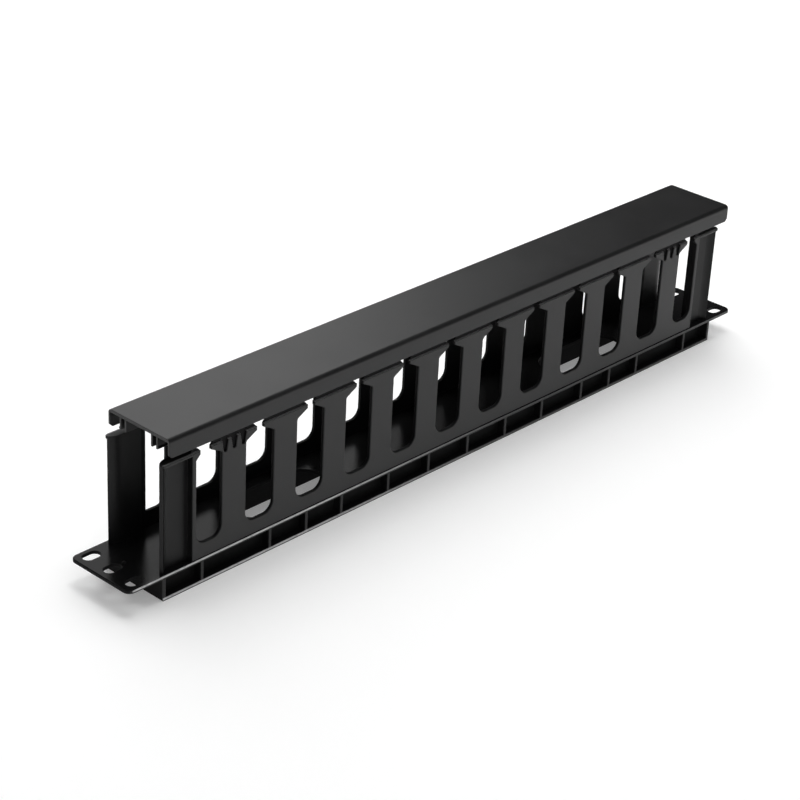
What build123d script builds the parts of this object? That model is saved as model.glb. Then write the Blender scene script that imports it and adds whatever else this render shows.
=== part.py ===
from build123d import *
import math
import os

# Horizontal cable manager for a 19 inch rack, one rack unit high, lying on its back.
# X runs along the width, Z points out of the rack and Z = 0 is the front face of the ears.

# Panel and overall sizes
panel_width = 482.6
panel_height = 43.94
front_depth = 72.9
overall_depth = 87.12
plate_thickness = 1.8
ear_reach = 21.7
ear_corner_radius = 4.0
plate_edge_chamfer = 0.4

# Rack mounting slots in the ears
slot_from_edge = 8.75
rack_hole_pitch = 15.875
ear_slot_length = 10.3
ear_slot_width = 6.6
pip_from_slot = 2.1
pip_radius = 1.1

# Finger walls
wall_inset = 0.5
wall_thickness = 1.9
slots_per_side = 12
slot_width = 18.8
slot_floor = 8.2
slot_corner_radius = 6.0
head_below_front = 13.1
head_overhang = 7.1
head_tip_height = 2.0
head_rise = 3.8
end_slot_cut = 2.1
end_nub_length = 2.7
neck_flare = 2.4
stem_fillet = 1.2
wall_chamfer = 0.35

# Three clipping notches in the first and last finger of each wall
notch_count = 3
notch_margin = 1.0
notch_top_share = 0.25
notch_bottom_share = 0.12
notch_depth = 6.2

# End posts
ridge_width = 2.5
face_width = 12.3
face_recess = 3.8
post_thickness = 1.8
curl_radius = 7.1
curl_angle = 49.0
post_set_in = 1.65
cap_thickness = 1.4
cap_corner_radius = 2.4

# Skirt behind the plate
web_recess = 4.77
web_thickness = 2.0
lip_thickness = 1.6
skirt_end_thickness = 2.0
rib_thickness = 1.6
rib_from_end = [25.3, 71.0, 96.6, 122.1, 157.1, 188.4]
brace_from_end = [25.3, 54.6, 157.1, 188.4]
skirt_gusset = 3.0

# Openings through the plate for cables that leave at the back
pass_from_end = 97.1
pass_length = 62.0
pass_margin = 9.27

# Clip-on cover
cover_overlap = 1.4
cover_shift = 4.7
cover_plate = 1.8
cover_lip_height = 10.1
cover_lip_thickness = 1.1
cover_edge_radius = 2.2
bead_radius = 0.3
leg_inset = 8.27
leg_width = 4.8
leg_thickness = 1.1
leg_height = 6.4
leg_barb = 0.8
cover_corner_cut = 1.6
tongue_clearance = 0.1

# Sizes that follow from the ones above
back_depth = overall_depth - front_depth
body_end = panel_width / 2 - ear_reach
body_length = 2 * body_end
rack_hole_span = panel_width - 2 * slot_from_edge
curl_width = curl_radius * math.sin(math.radians(curl_angle))
curl_start = body_end - post_set_in - curl_width
ridge_end = curl_start - face_width
slot_row_end = ridge_end - ridge_width
end_slot_edge = slot_width / 2 - end_slot_cut
end_slot_place = slot_row_end - end_slot_edge
slot_pitch = 2 * end_slot_place / (slots_per_side - 1)
finger_width = slot_pitch - slot_width
wall_outer = panel_height / 2 - wall_inset
wall_inner = wall_outer - wall_thickness
neck_half = slot_width / 2 - head_overhang
head_top = front_depth - head_below_front
head_under = head_top - head_tip_height
notch_top_width = finger_width * notch_top_share
notch_bottom_width = finger_width * notch_bottom_share
notch_pitch = (finger_width - notch_bottom_width) / 2 - notch_margin
cover_underside = front_depth - cover_plate
tongue_top = cover_underside - tongue_clearance
tongue_outer = panel_height / 2 - cover_lip_thickness - bead_radius - tongue_clearance
ledge_width = wall_outer - tongue_outer
lip_bottom = front_depth - cover_lip_height
web_outer = panel_height / 2 - web_recess
web_inner = web_outer - web_thickness
skirt_depth = back_depth - plate_thickness
brace_depth = skirt_depth / 2
pass_spacing = 2 * (body_end - pass_from_end)
pass_width = panel_height - 2 * pass_margin
cover_length = body_length + cover_overlap
leg_outer = panel_height / 2 - leg_inset
leg_centre = leg_outer - leg_thickness / 2
leg_partner = leg_outer - leg_width + leg_thickness / 2


# The piece at one corner, with its mirror images at the other three
def corner_copies(piece):
    opposite = piece.mirror(Plane.YZ)
    return [piece, opposite, piece.mirror(Plane.XZ), opposite.mirror(Plane.XZ)]


# A finger slot: rounded floor, straight sides, a neck between the heads, a flare above.
# The inner side is the same for all slots, the outer side differs in the first and last one.
def slot_outline(outer_edge, outer_neck, outer_rise):
    with BuildSketch() as outline:
        with BuildLine():
            Polyline(
                (-slot_width / 2, slot_floor),
                (outer_edge, slot_floor),
                (outer_edge, head_under - outer_rise),
                (outer_neck, head_under),
                (outer_neck, head_top),
                (outer_neck + neck_flare, head_top + neck_flare),
                (outer_neck + neck_flare, front_depth),
                (-neck_half - neck_flare, front_depth),
                (-neck_half - neck_flare, head_top + neck_flare),
                (-neck_half, head_top),
                (-neck_half, head_under),
                (-slot_width / 2, head_under - head_rise),
                close=True,
            )
        make_face()
        fillet(outline.vertices().group_by(Axis.Y)[0], slot_corner_radius)
        inner_corner = (-slot_width / 2, head_under - head_rise)
        outer_corner = (outer_edge, head_under - outer_rise)
        fillet(outline.vertices().sort_by_distance(inner_corner)[0], stem_fillet)
        fillet(outline.vertices().sort_by_distance(outer_corner)[0], stem_fillet)
    return outline.sketch


middle_slot = slot_outline(slot_width / 2, neck_half, head_rise)
end_slot = slot_outline(end_slot_edge, end_slot_edge - end_nub_length, end_nub_length)

# One clipping notch, tapered with a round bottom, hanging from the top of the wall
with BuildSketch() as notch:
    with BuildLine():
        Polyline(
            (-notch_top_width / 2, tongue_top + wall_chamfer),
            (-notch_top_width / 2, head_top),
            (-notch_bottom_width / 2, head_top - notch_depth),
            (notch_bottom_width / 2, head_top - notch_depth),
            (notch_top_width / 2, head_top),
            (notch_top_width / 2, tongue_top + wall_chamfer),
            close=True,
        )
    make_face()
    fillet(notch.vertices().group_by(Axis.Y)[0], notch_bottom_width * 0.45)

# One long wall with its fingers, short nubs at both ends and the ledge under the cover
with BuildPart() as finger_wall:
    with BuildSketch(Plane.XZ.offset(wall_outer)):
        with Locations((0, tongue_top / 2)):
            Rectangle(2 * ridge_end, tongue_top)
        with GridLocations(slot_pitch, 1, slots_per_side - 2, 1):
            add(middle_slot, mode=Mode.SUBTRACT)
        with Locations((end_slot_place, 0)):
            add(end_slot, mode=Mode.SUBTRACT)
        with Locations((-end_slot_place, 0)):
            add(end_slot.mirror(Plane.YZ), mode=Mode.SUBTRACT)
        with GridLocations((slots_per_side - 2) * slot_pitch, 1, 2, 1):
            with GridLocations(notch_pitch, 1, notch_count, 1):
                add(notch.sketch, mode=Mode.SUBTRACT)
    extrude(amount=-wall_thickness)
    with Locations((0, -wall_outer, head_top)):
        Box(
            2 * ridge_end,
            ledge_width,
            tongue_top,
            align=(Align.CENTER, Align.MIN, Align.MIN),
            mode=Mode.SUBTRACT,
        )
    wall_face = finger_wall.faces().sort_by(Axis.Y)[0]
    chamfer(wall_face.edges().filter_by(GeomType.LINE), wall_chamfer)

# One end post: a sheet folded in plan. It goes back behind the ridge, runs flat as the face,
# and curls outward at its end. A thin cap, rounded at the corner, closes the fold on top.
face_front = face_recess - wall_outer
face_back = face_front + post_thickness
curl_centre = (curl_start, face_front - curl_radius)
with BuildPart() as end_post:
    with BuildSketch():
        with BuildLine():
            Polyline(
                (curl_start, face_front),
                (ridge_end, face_front),
                (ridge_end, -wall_inner),
                (slot_row_end, -wall_inner),
                (slot_row_end, face_back),
                (curl_start, face_back),
            )
            front_curl = CenterArc(curl_centre, curl_radius, 90, -curl_angle)
            back_curl = CenterArc(curl_centre, curl_radius + post_thickness, 90, -curl_angle)
            Line(front_curl @ 1, back_curl @ 1)
        make_face()
    extrude(amount=head_top)
    cap_turn = ((back_curl @ 1).X - cap_corner_radius, -wall_outer)
    with BuildSketch(Plane.XY.offset(head_top - cap_thickness)):
        with BuildLine():
            Polyline(
                (curl_start, face_back),
                (ridge_end, face_back),
                (ridge_end, -wall_outer),
                cap_turn,
            )
            TangentArc(cap_turn, back_curl @ 1, tangent=(1, 0))
            CenterArc(curl_centre, curl_radius + post_thickness, 90, -curl_angle)
        make_face()
    extrude(amount=cap_thickness)
    cap_front = ((ridge_end + cap_turn[0]) / 2, -wall_outer, head_top)
    chamfer(end_post.edges().filter_by(Axis.X).sort_by_distance(cap_front)[0], wall_chamfer)

# The duct: one moulding of plate, ears, skirt, finger walls and end posts
with BuildPart() as duct_body:
    # Plate with the ears, the rack slots and the two cable openings
    with BuildSketch(Plane.XY.offset(-plate_thickness)):
        RectangleRounded(panel_width, panel_height, ear_corner_radius)
        with GridLocations(rack_hole_span, rack_hole_pitch, 2, 3):
            SlotOverall(ear_slot_length, ear_slot_width, mode=Mode.SUBTRACT)
        with GridLocations(pass_spacing, 1, 2, 1):
            SlotOverall(pass_length, pass_width, mode=Mode.SUBTRACT)
    extrude(amount=plate_thickness)
    front_rim = duct_body.faces().sort_by(Axis.Z)[-1].outer_wire().edges()
    chamfer(front_rim, plate_edge_chamfer)

    # Skirt web around the back, open behind, with an outward lip along both long sides
    with BuildSketch(Plane.XY.offset(-back_depth)):
        Rectangle(body_length, 2 * web_outer)
        Rectangle(body_length - 2 * skirt_end_thickness, 2 * web_inner, mode=Mode.SUBTRACT)
    extrude(amount=skirt_depth)
    with BuildSketch(Plane.XY.offset(-back_depth)):
        with GridLocations(1, 2 * web_outer + web_recess, 1, 2):
            Rectangle(body_length, web_recess)
    extrude(amount=lip_thickness)

    # Ribs between plate and lip on the outside, end plates that close the channel
    rib_places = [0.0]
    for reach in rib_from_end:
        rib_places = rib_places + [body_end - reach, reach - body_end]
    rib_places = rib_places + [body_end - rib_thickness / 2, rib_thickness / 2 - body_end]
    with Locations([(place, 0, -back_depth) for place in rib_places]):
        with GridLocations(1, 2 * web_outer + web_recess, 1, 2):
            Box(
                rib_thickness,
                web_recess,
                skirt_depth,
                align=(Align.CENTER, Align.CENTER, Align.MIN),
            )

    # Braces across the hollow behind the plate, clear of the cable openings
    brace_places = [0.0]
    for reach in brace_from_end:
        brace_places = brace_places + [body_end - reach, reach - body_end]
    with Locations([(place, 0, -plate_thickness) for place in brace_places]):
        Box(
            rib_thickness,
            2 * web_inner,
            brace_depth,
            align=(Align.CENTER, Align.CENTER, Align.MAX),
        )

    # Sloped gusset where each ear leaves the skirt
    with BuildSketch(Plane.XZ.offset(-web_outer)):
        with BuildLine():
            Polyline(
                (body_end, -plate_thickness),
                (body_end + skirt_gusset, -plate_thickness),
                (body_end, -plate_thickness - skirt_gusset),
                close=True,
            )
        make_face()
        mirror(about=Plane.YZ)
    extrude(amount=2 * web_outer)

    # Small locating pip beside the middle slot of each ear
    pip_place = rack_hole_span - ear_slot_length - 2 * pip_from_slot
    with GridLocations(pip_place, 1, 2, 1):
        Sphere(pip_radius)

    # Finger walls and posts
    add(finger_wall.part)
    add(finger_wall.part.mirror(Plane.XZ))
    add(corner_copies(end_post.part))
duct_body.part.label = "duct_body"

# The cover: one drawn profile with outer lips, beads and a pair of double legs with a barb
with BuildPart() as cover:
    with BuildSketch(Plane.YZ.offset(cover_shift - cover_length / 2)) as cover_profile:
        with Locations((0, front_depth)):
            Rectangle(panel_height, cover_lip_height, align=(Align.CENTER, Align.MAX))
        fillet(cover_profile.vertices().group_by(Axis.Y)[-1], cover_edge_radius)
        with Locations((0, cover_underside)):
            Rectangle(
                panel_height - 2 * cover_lip_thickness,
                cover_lip_height,
                align=(Align.CENTER, Align.MAX),
                mode=Mode.SUBTRACT,
            )
        with Locations((0, lip_bottom + bead_radius)):
            with GridLocations(panel_height - 2 * cover_lip_thickness, 1, 2, 1):
                Circle(bead_radius)
        for leg_place in [leg_centre, leg_partner]:
            with Locations((leg_place, cover_underside), (-leg_place, cover_underside)):
                Rectangle(leg_thickness, leg_height, align=(Align.CENTER, Align.MAX))
        leg_end = cover_underside - leg_height
        for side in [1, -1]:
            with BuildLine():
                Polyline(
                    (side * leg_outer, leg_end),
                    (side * (leg_outer + leg_barb), leg_end + leg_barb),
                    (side * leg_outer, leg_end + 2 * leg_barb),
                    close=True,
                )
            make_face()
    extrude(amount=cover_length)

    # Small corner cut at the lower end of each lip
    cover_left = cover_shift - cover_length / 2
    cover_right = cover_shift + cover_length / 2
    with BuildSketch(Plane.XZ.offset(-panel_height / 2)):
        with BuildLine():
            Polyline(
                (cover_left, lip_bottom),
                (cover_left + cover_corner_cut, lip_bottom),
                (cover_left, lip_bottom + cover_corner_cut),
                close=True,
            )
        make_face()
        with BuildLine():
            Polyline(
                (cover_right, lip_bottom),
                (cover_right - cover_corner_cut, lip_bottom),
                (cover_right, lip_bottom + cover_corner_cut),
                close=True,
            )
        make_face()
    extrude(amount=panel_height, mode=Mode.SUBTRACT)
cover.part.label = "cover"

os.makedirs("parts", exist_ok=True)
export_step(duct_body.part, "parts/duct_body.step")
export_step(cover.part, "parts/cover.step")
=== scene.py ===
import math

import bmesh
import bpy
from mathutils import Matrix, Vector


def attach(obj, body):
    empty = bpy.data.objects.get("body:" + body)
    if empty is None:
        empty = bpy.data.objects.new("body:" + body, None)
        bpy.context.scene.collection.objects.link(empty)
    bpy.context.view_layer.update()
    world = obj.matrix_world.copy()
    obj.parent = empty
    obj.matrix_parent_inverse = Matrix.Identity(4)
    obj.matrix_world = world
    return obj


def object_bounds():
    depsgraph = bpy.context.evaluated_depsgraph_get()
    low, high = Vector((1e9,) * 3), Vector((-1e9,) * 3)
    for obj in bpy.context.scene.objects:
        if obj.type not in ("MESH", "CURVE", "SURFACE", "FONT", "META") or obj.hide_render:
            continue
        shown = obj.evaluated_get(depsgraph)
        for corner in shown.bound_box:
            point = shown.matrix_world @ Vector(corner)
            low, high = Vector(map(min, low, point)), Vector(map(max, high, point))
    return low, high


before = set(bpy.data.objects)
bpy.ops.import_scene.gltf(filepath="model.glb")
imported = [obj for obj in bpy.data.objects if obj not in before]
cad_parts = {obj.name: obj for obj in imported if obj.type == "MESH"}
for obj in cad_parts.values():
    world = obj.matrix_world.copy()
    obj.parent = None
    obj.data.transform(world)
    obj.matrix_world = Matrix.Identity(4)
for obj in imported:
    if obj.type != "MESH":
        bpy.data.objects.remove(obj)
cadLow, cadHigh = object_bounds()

print("stage: frame loaded")


# A shader socket that can stand in a sum, so that materials read as plain arithmetic
class Wire:
    def __init__(self, tree, socket):
        self.tree = tree
        self.socket = socket

    def join(self, operation, first, second):
        wires = [side for side in (first, second) if isinstance(side, Wire)]
        wide = any(wire.socket.type in ("RGBA", "VECTOR") for wire in wires)
        made = self.tree.nodes.new("ShaderNodeVectorMath" if wide else "ShaderNodeMath")
        made.operation = operation
        for place, side in enumerate((first, second)):
            if isinstance(side, Wire):
                self.tree.links.new(side.socket, made.inputs[place])
            else:
                made.inputs[place].default_value = (side, side, side) if wide else side
        return Wire(self.tree, made.outputs[0])

    def __add__(self, other):
        return self.join("ADD", self, other)

    def __radd__(self, other):
        return self.join("ADD", other, self)

    def __sub__(self, other):
        return self.join("SUBTRACT", self, other)

    def __rsub__(self, other):
        return self.join("SUBTRACT", other, self)

    def __mul__(self, other):
        return self.join("MULTIPLY", self, other)

    def __rmul__(self, other):
        return self.join("MULTIPLY", other, self)


# One material's node tree; node() takes the type, its settings, the output and the sockets by place or name
class Finish:
    def __init__(self, name):
        self.material = bpy.data.materials.new(name)
        self.material.use_nodes = True
        self.tree = self.material.node_tree
        self.tree.nodes.clear()

    def node(self, kind, sockets, settings=None, output=0):
        made = self.tree.nodes.new(kind)
        for key, value in (settings or {}).items():
            setattr(made, key, value)
        for key, value in sockets.items():
            if isinstance(value, Wire):
                self.tree.links.new(value.socket, made.inputs[key])
            else:
                made.inputs[key].default_value = value
        return Wire(self.tree, made.outputs[output])

    def noise(self, place, scale, detail=3.0, roughness=0.55):
        return self.node("ShaderNodeTexNoise", {
            "Vector": place, "Scale": scale, "Detail": detail, "Roughness": roughness})

    def ramp(self, value, low, high, first=0.0, last=1.0):
        return self.node("ShaderNodeMapRange", {0: value, 1: low, 2: high, 3: first, 4: last},
                         {"clamp": True, "interpolation_type": "SMOOTHSTEP"})

    def mix(self, mask, first, second):
        return self.node("ShaderNodeMix", {0: mask, 6: first, 7: second}, {"data_type": "RGBA"}, output=2)

    def close(self, surface):
        end = self.tree.nodes.new("ShaderNodeOutputMaterial")
        self.tree.links.new(surface.socket, end.inputs["Surface"])
        return self.material


# What both mouldings share; a detail pair is a noise's detail and roughness, other pairs are a ramp's ends
mouldLook = {
    "grainDetail": (2.0, 0.6),
    "cloudDetail": 4.0,
    "scuffDetail": (5.0, 0.7),
    "edgeSamples": 6,
    "edgeTurn": (0.01, 0.20),
    "wearPatches": (0.38, 0.62),
    "clouding": (0.32, 0.68),
    # scuff noise that breaks up the duct's painted highlights
    "highlightPatches": (0.25, 0.55),
    "highlightLeast": 0.55,
    "grainRough": 0.05,
    "wearPolish": 0.10,
    "bumpDepth": 0.0002,  # metres
}


# Moulded black plastic: spark-eroded grain, faint flow clouding, edges a little polished by handling.
# On the duct, painted shade makes the recessed faces rougher and less reflective, and painted highlights make
# its flange edge, skirt lip and head tops pale.
def mouldedPlastic(name, look):
    finish = Finish(name)
    place = finish.node("ShaderNodeTexCoord", {}, output=3)
    grain = finish.noise(place, look["grainScale"], *mouldLook["grainDetail"])
    cloud = finish.noise(place, look["cloudScale"], mouldLook["cloudDetail"])
    scuff = finish.noise(place, look["scuffScale"], *mouldLook["scuffDetail"])
    rounded = finish.node("ShaderNodeBevel", {"Radius": look["edgeRadius"]},
                          {"samples": mouldLook["edgeSamples"]})
    facing = finish.node("ShaderNodeNewGeometry", {}, output=1)
    alike = finish.node("ShaderNodeVectorMath", {0: rounded, 1: facing},
                        {"operation": "DOT_PRODUCT"}, output=1)
    edge = finish.ramp(1 - alike, *mouldLook["edgeTurn"])
    wear = edge * finish.ramp(scuff, *mouldLook["wearPatches"]) * look["wear"]
    body = finish.mix(finish.ramp(cloud, *mouldLook["clouding"]), look["deep"], look["pale"])
    colour = finish.mix(wear, body, look["worn"])
    rough = look["rough"] + (cloud - 0.5) * look["roughSpread"]
    rough = rough + (grain - 0.5) * mouldLook["grainRough"] - wear * mouldLook["wearPolish"]
    bumped = finish.node("ShaderNodeBump", {
        "Strength": look["bump"], "Distance": mouldLook["bumpDepth"], "Height": grain, "Normal": rounded})
    if "recess" not in look:
        return finish.close(finish.node("ShaderNodeBsdfPrincipled", {
            "Base Color": colour, "Roughness": rough, "Normal": bumped, "IOR": look["ior"]}))

    across = finish.node("ShaderNodeSeparateXYZ", {"Vector": place}, output=1)
    height = finish.node("ShaderNodeSeparateXYZ", {"Vector": place}, output=2)
    sideways = finish.node("ShaderNodeMath", {0: across}, {"operation": "ABSOLUTE"})
    plate = finish.node("ShaderNodeMath", {0: height, 1: 0.0, 2: look["levelSlack"]},
                        {"operation": "COMPARE"})
    ledge = finish.node("ShaderNodeMath", {0: height, 1: look["headTop"], 2: look["levelSlack"]},
                        {"operation": "COMPARE"})
    # Painted highlight: the outer edge of the head tops' ledge is painted pale, broken up by scuff noise
    highlightBreakup = finish.ramp(scuff, *mouldLook["highlightPatches"], mouldLook["highlightLeast"])
    ledgeHighlightMask = ledge * finish.ramp(sideways, look["ledgeFrom"], look["ledgeFull"])
    colour = finish.mix(ledgeHighlightMask * highlightBreakup, colour, look["ledgeHighlight"])

    # Painted highlight lines along the flange's edge and the skirt's lip, fading from the left end to the
    # right
    line = look["line"]
    length = finish.node("ShaderNodeSeparateXYZ", {"Vector": place}, output=0)
    flangeLine = finish.ramp(height, line["flangeFoot"], line["flangeFoot"] + line["soft"])
    lipLine = finish.ramp(height, line["lipFoot"], line["lipFoot"] + line["soft"])
    lipLine = lipLine - finish.ramp(height, line["lipTop"], line["lipTop"] + line["soft"])
    outermost = finish.ramp(sideways, line["from"], line["full"]) * (flangeLine + lipLine)
    fading = finish.ramp(length, line["fadeFrom"], line["fadeTo"])
    lineHighlightColour = finish.mix(fading, line["strong"], line["faint"])
    colour = finish.mix(outermost * highlightBreakup, colour, lineHighlightColour)
    rough = rough - plate * (look["rough"] - look["plateRough"])
    satin = finish.node("ShaderNodeBsdfPrincipled", {
        "Base Color": colour, "Roughness": rough, "Normal": bumped, "IOR": look["ior"]})
    # Painted shade: recessed faces get a rougher, lower-IOR copy of the finish, so they reflect less and read
    # darker
    recessShadeBsdf = finish.node("ShaderNodeBsdfPrincipled", {
        "Base Color": colour, "Roughness": rough + (1 - plate) * look["recess"]["rougher"],
        "Normal": bumped, "IOR": look["recess"]["ior"]})
    # The end posts' faces above the plate get only part of this painted shade
    along = finish.node("ShaderNodeMath", {0: length}, {"operation": "ABSOLUTE"})
    post = finish.ramp(along, look["post"]["from"], look["post"]["full"])
    post = post * finish.ramp(height, look["post"]["footFrom"], look["post"]["footFull"])
    recessed = 1 - finish.ramp(sideways, look["recess"]["full"], look["recess"]["from"])
    recessed = recessed * (1 - post * look["post"]["shadeEase"])
    return finish.close(finish.node("ShaderNodeMixShader", {0: recessed, 1: satin, 2: recessShadeBsdf}))


ductLook = {
    "deep": (0.0055, 0.0055, 0.0058, 1.0),
    "pale": (0.0085, 0.0085, 0.0088, 1.0),
    "worn": (0.0600, 0.0600, 0.0610, 1.0),
    # colour of the painted highlight on the head tops' ledge
    "ledgeHighlight": (0.1700, 0.1700, 0.1700, 1.0),
    "grainScale": 2600.0,
    "cloudScale": 34.0,
    "scuffScale": 260.0,
    "edgeRadius": 0.00035,  # metres
    "wear": 0.5,
    "rough": 0.36,
    "plateRough": 0.14,  # the plate's front face comes from a polished mould
    "roughSpread": 0.10,
    "bump": 0.18,
    "ior": 1.42,
    "headTop": 0.0598,
    "levelSlack": 0.0002,
    "ledgeFrom": 0.0203,  # distances from the middle plane
    "ledgeFull": 0.0205,
    "line": {  # painted highlight lines on the flange's edge and on the skirt's lip, strongest at the left end, where the edges catch the most light
        "from": 0.02165,
        "full": 0.02190,
        "flangeFoot": -0.00120,
        "lipFoot": -0.01370,
        "lipTop": -0.01255,
        "soft": 0.00012,
        "strong": (0.6200, 0.6200, 0.6200, 1.0),
        "faint": (0.0500, 0.0500, 0.0500, 1.0),
        "fadeFrom": -0.150,
        "fadeTo": 0.050,
    },
    # painted shade on recessed faces: rougher and with a lower IOR
    "recess": {"full": 0.0210, "from": 0.0213, "rougher": 0.18, "ior": 1.17},
    # share of the painted shade taken off the end posts above the plate
    "post": {"from": 0.2002, "full": 0.2004, "footFrom": 0.0003, "footFull": 0.0005, "shadeEase": 0.5},
}

coverLook = {
    "deep": (0.0075, 0.0075, 0.0078, 1.0),
    "pale": (0.0110, 0.0110, 0.0114, 1.0),
    "worn": (0.0600, 0.0600, 0.0610, 1.0),
    "grainScale": 2100.0,
    "cloudScale": 34.0,
    "scuffScale": 260.0,
    "edgeRadius": 0.00030,
    "wear": 0.5,
    "rough": 0.40,
    "roughSpread": 0.10,
    "bump": 0.24,
    "ior": 1.42,
}


def dress(node, material):
    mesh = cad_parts[node].data
    if not mesh.materials:
        mesh.materials.append(material)
    for place in range(len(mesh.materials)):
        mesh.materials[place] = material


ductPlastic = mouldedPlastic("ductPlastic", ductLook)
dress("duct_body", ductPlastic)
dress("cover", mouldedPlastic("coverPlastic", coverLook))
print("stage: plastics done")

# The three clipping notches in each end finger are blind: a thin web closes them on the inside
notchWeb = {
    "fingerPlace": 0.17317,  # metres, middle of the end fingers
    "pitch": 0.00597,
    "topWidth": 0.00400,
    "bottomWidth": 0.00196,
    "bottom": 0.05350,
    "shoulder": 0.05980,
    "top": 0.07080,
    "inner": 0.01962,  # the web's two faces, from the middle plane
    "outer": 0.02030,
}


def closeNotches(look, material):
    half, foot = look["topWidth"] / 2, look["bottomWidth"] / 2
    outline = [(-half, look["top"]), (-half, look["shoulder"]), (-foot, look["bottom"]),
               (foot, look["bottom"]), (half, look["shoulder"]), (half, look["top"])]
    count = len(outline)
    for wall, side in (("near", -1), ("far", 1)):
        for end, hand in (("Left", -1), ("Right", 1)):
            points, faces = [], []
            for step in (-1, 0, 1):
                middle = hand * look["fingerPlace"] + step * look["pitch"]
                start = len(points)
                for depth in (look["inner"], look["outer"]):
                    points += [(middle + x, side * depth, z) for x, z in outline]
                faces.append([start + place for place in range(count)])
                faces.append([start + count + place for place in reversed(range(count))])
                for place in range(count):
                    after = (place + 1) % count
                    faces.append([start + place, start + count + place, start + count + after, start + after])
            mesh = bpy.data.meshes.new(wall + end + "NotchWeb")
            mesh.from_pydata(points, [], faces)
            web = bpy.data.objects.new(wall + end + "NotchWeb", mesh)
            bpy.context.collection.objects.link(web)
            mesh.materials.append(material)
            tidy = bmesh.new()
            tidy.from_mesh(mesh)
            bmesh.ops.recalc_face_normals(tidy, faces=tidy.faces)
            tidy.to_mesh(mesh)
            tidy.free()
            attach(web, "duct")


closeNotches(notchWeb, ductPlastic)
print("stage: notch webs done")


# Pale floor that runs out to a round backdrop; both glow like a light table, the more the further away
studioLook = {
    "radius": 9.0,  # metres
    "wallHeight": 8.0,
    "sides": 96,
    "drop": 0.00005,
    "colour": (0.86, 0.86, 0.86, 1.0),
    "rough": 0.80,
    "driftScale": 3.0,
    "driftDetail": 2.0,
    "driftRough": 0.1,
    "glow": 0.22,
    "farGlow": 0.88,
    "glowFrom": 0.9,
    "glowFull": 3.2,
}


def studioPaint(look):
    finish = Finish("studioPaint")
    place = finish.node("ShaderNodeTexCoord", {}, output=3)
    drift = finish.noise(place, look["driftScale"], look["driftDetail"])
    away = finish.node("ShaderNodeVectorMath", {0: place}, {"operation": "LENGTH"}, output=1)
    glow = finish.ramp(away, look["glowFrom"], look["glowFull"], look["glow"], look["farGlow"])
    return finish.close(finish.node("ShaderNodeBsdfPrincipled", {
        "Base Color": look["colour"], "Roughness": look["rough"] + (drift - 0.5) * look["driftRough"],
        "Emission Color": glow, "Emission Strength": 1.0}))


def buildStudio(look, height):
    turns = [2 * math.pi * place / look["sides"] for place in range(look["sides"])]
    ring = [(look["radius"] * math.cos(turn), look["radius"] * math.sin(turn)) for turn in turns]
    low = [(x, y, height) for x, y in ring]
    high = [(x, y, height + look["wallHeight"]) for x, y in ring]
    around = [(place, (place + 1) % look["sides"]) for place in range(look["sides"])]
    walls = [(first, second, second + look["sides"], first + look["sides"]) for first, second in around]
    paint = studioPaint(look)
    made = []
    floorFace = [tuple(range(look["sides"]))]
    for name, points, faces in (("floor", low, floorFace), ("backdrop", low + high, walls)):
        mesh = bpy.data.meshes.new(name)
        mesh.from_pydata(points, [], faces)
        mesh.materials.append(paint)
        laid = bpy.data.objects.new(name, mesh)
        bpy.context.collection.objects.link(laid)
        made.append(laid)
    backdrop = made[1]  # it only closes the view, so it throws no light and no reflections
    backdrop.visible_glossy = False
    backdrop.visible_diffuse = False
    backdrop.visible_shadow = False


buildStudio(studioLook, cadLow.z - studioLook["drop"])

# Soft studio light; metres and watts, and only the lamps that are inGloss show in reflections
lamps = [
    {"name": "ceiling", "at": (0.0, 0.0, 3.20), "aim": (0.0, 0.0, 0.0),
     "wide": 7.0, "tall": 7.0, "power": 48.0, "inGloss": False},
    {"name": "overhead", "at": (0.40, 0.30, 1.90), "aim": (0.0, 0.0, 0.0),
     "wide": 2.2, "tall": 1.2, "power": 21.0, "inGloss": False},
    {"name": "key", "at": (0.30, 0.15, 1.90), "aim": (0.0, 0.0, 0.0),
     "wide": 0.9, "tall": 0.9, "power": 5.7, "inGloss": True},
    {"name": "backPanel", "at": (0.34, 0.80, 0.68), "aim": (0.10, 0.0, 0.10),
     "wide": 0.90, "tall": 0.90, "power": 4.6, "inGloss": True},
    {"name": "frontPanel", "at": (-0.45, -0.90, 0.50), "aim": (0.0, 0.0, 0.05),
     "wide": 0.90, "tall": 0.60, "power": 1.3, "inGloss": True},
]
skyLevel = 0.07


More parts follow.
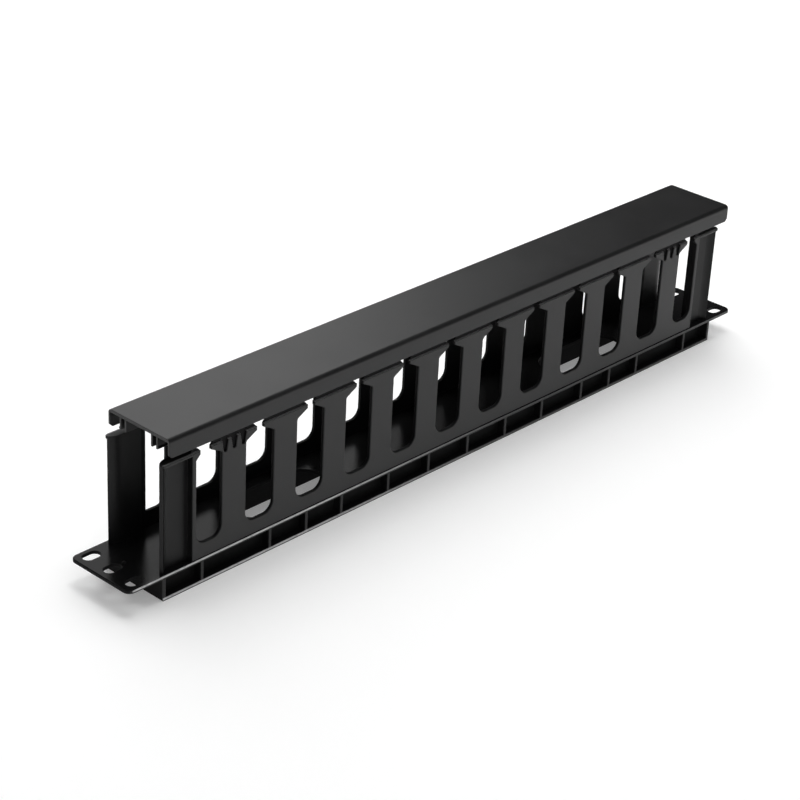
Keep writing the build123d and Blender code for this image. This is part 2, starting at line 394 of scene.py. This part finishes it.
def hangLamps(lamps, skyLevel):
    for lamp in lamps:
        light = bpy.data.lights.new(lamp["name"], "AREA")
        light.shape = "RECTANGLE"
        light.size = lamp["wide"]
        light.size_y = lamp["tall"]
        light.energy = lamp["power"]
        hung = bpy.data.objects.new(lamp["name"], light)
        hung.location = lamp["at"]
        hung.rotation_euler = (Vector(lamp["aim"]) - Vector(lamp["at"])).to_track_quat("-Z", "Y").to_euler()
        hung.visible_camera = False
        hung.visible_glossy = lamp["inGloss"]
        bpy.context.collection.objects.link(hung)
    world = bpy.data.worlds.new("studioSky")
    world.use_nodes = True
    world.node_tree.nodes["Background"].inputs["Color"].default_value = (1.0, 1.0, 1.0, 1.0)
    world.node_tree.nodes["Background"].inputs["Strength"].default_value = skyLevel
    bpy.context.scene.world = world


hangLamps(lamps, skyLevel)
print("stage: floor and lights done")

# Camera, looking from above the left end of the near wall
cameraSetup = {
    "azimuth": -47.90,  # degrees; 0 looks along +Y
    "elevation": 27.33,
    "roll": 2.98,
    "sideways": -0.02118,  # metres along the camera's own axes
    "upward": 0.01015,
    "distance": 1.25514,
    "lens": 102.785,
    "sensor": 36.0,
}


def placeCamera(setup):
    azimuth, elevation, roll = (math.radians(setup[key]) for key in ("azimuth", "elevation", "roll"))
    back = Vector((
        math.sin(azimuth) * math.cos(elevation),
        -math.cos(azimuth) * math.cos(elevation),
        math.sin(elevation),
    ))
    level = Vector((0.0, 0.0, 1.0)).cross(back).normalized()
    upright = back.cross(level)
    right = level * math.cos(roll) + upright * math.sin(roll)
    up = upright * math.cos(roll) - level * math.sin(roll)
    spot = right * setup["sideways"] + up * setup["upward"] + back * setup["distance"]
    data = bpy.data.cameras.new("camera")
    data.lens = setup["lens"]
    data.sensor_width = setup["sensor"]
    camera = bpy.data.objects.new("camera", data)
    camera.matrix_world = Matrix((
        (right.x, up.x, back.x, spot.x),
        (right.y, up.y, back.y, spot.y),
        (right.z, up.z, back.z, spot.z),
        (0.0, 0.0, 0.0, 1.0),
    ))
    bpy.context.collection.objects.link(camera)
    bpy.context.scene.camera = camera


placeCamera(cameraSetup)
bpy.context.scene.view_settings.view_transform = "Standard"
print("stage: camera done")
